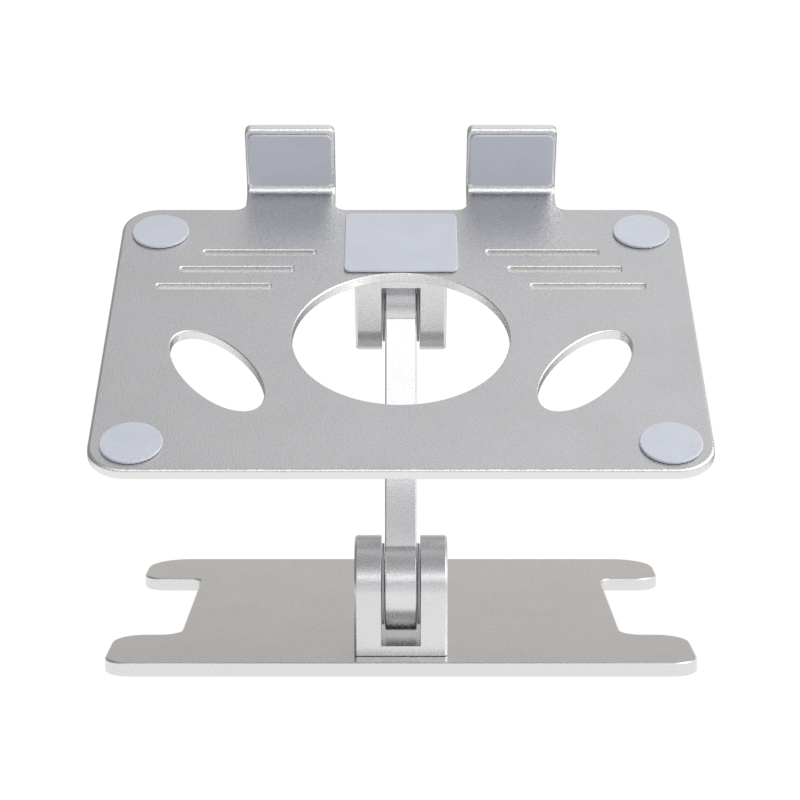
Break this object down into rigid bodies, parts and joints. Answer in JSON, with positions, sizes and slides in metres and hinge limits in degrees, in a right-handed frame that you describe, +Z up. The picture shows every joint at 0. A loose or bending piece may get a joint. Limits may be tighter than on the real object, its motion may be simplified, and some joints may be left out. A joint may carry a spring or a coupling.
{
  "type": "laptop stand",
  "caption": "Folding aluminium laptop stand: notched flat base, arm with a friction hinge at each end, and a vented tilting tray with front hooks and silicone pads.",
  "frame": {"origin": "on the desk, under the middle of the bounding box", "axes": "+X across the stand, to the right as seen from its rear; +Y from the rear edge towards the hooks; +Z up"},
  "size_m": [0.2572, 0.2856, 0.2351],
  "materials": {
    "tray_anodised": "bead-blasted silver anodised aluminium with a fine sparkle",
    "base_anodised": "smooth satin silver anodised aluminium",
    "hinge_anodised": "bead-blasted silver anodised aluminium",
    "silicone": "smooth light grey silicone",
    "rubber": "matt black rubber",
    "zinc_steel": "zinc-plated steel",
    "spring_steel": "oiled spring steel",
    "bronze": "sintered bronze",
    "acetal": "smooth grey acetal"
  },
  "bodies": {
    "base": {"base_plate": "base_anodised", "base_foot_rear_left": "rubber", "base_foot_rear_right": "rubber", "base_foot_front_left": "rubber", "base_foot_front_right": "rubber", "base_bracket": "hinge_anodised", "base_screw_rear_left": "zinc_steel", "base_screw_rear_right": "zinc_steel", "base_screw_front_left": "zinc_steel", "base_screw_front_right": "zinc_steel", "lower_pivot_bolt": "zinc_steel", "lower_pivot_nut": "zinc_steel", "lower_disc_spring_inner": "spring_steel", "lower_disc_spring_outer": "spring_steel", "lower_friction_washer_left": "acetal", "lower_friction_washer_right": "acetal"},
    "arm": {"arm": "hinge_anodised", "lower_bush": "bronze", "upper_bush": "bronze"},
    "tray": {"tray_plate": "tray_anodised", "tray_bracket": "hinge_anodised", "tray_screw_rear_left": "zinc_steel", "tray_screw_rear_right": "zinc_steel", "tray_screw_front_left": "zinc_steel", "tray_screw_front_right": "zinc_steel", "corner_pad_rear_left": "silicone", "corner_pad_rear_right": "silicone", "corner_pad_front_left": "silicone", "corner_pad_front_right": "silicone", "centre_pad": "silicone", "hook_pad_left": "silicone", "hook_pad_right": "silicone", "upper_pivot_bolt": "zinc_steel", "upper_pivot_nut": "zinc_steel", "upper_disc_spring_inner": "spring_steel", "upper_disc_spring_outer": "spring_steel", "upper_friction_washer_left": "acetal", "upper_friction_washer_right": "acetal"}
  },
  "joints": [
    {"name": "lower_hinge", "type": "hinge", "parent": "base", "child": "arm", "pos_m": [0, -0.03682, 0.0353], "axis": [1, 0, 0], "range_deg": [-69.17, 14]},
    {"name": "upper_hinge", "type": "hinge", "parent": "arm", "child": "tray", "pos_m": [0, 0.00894, 0.15559], "axis": [1, 0, 0], "range_deg": [-15.5, 39.13]}
  ]
}
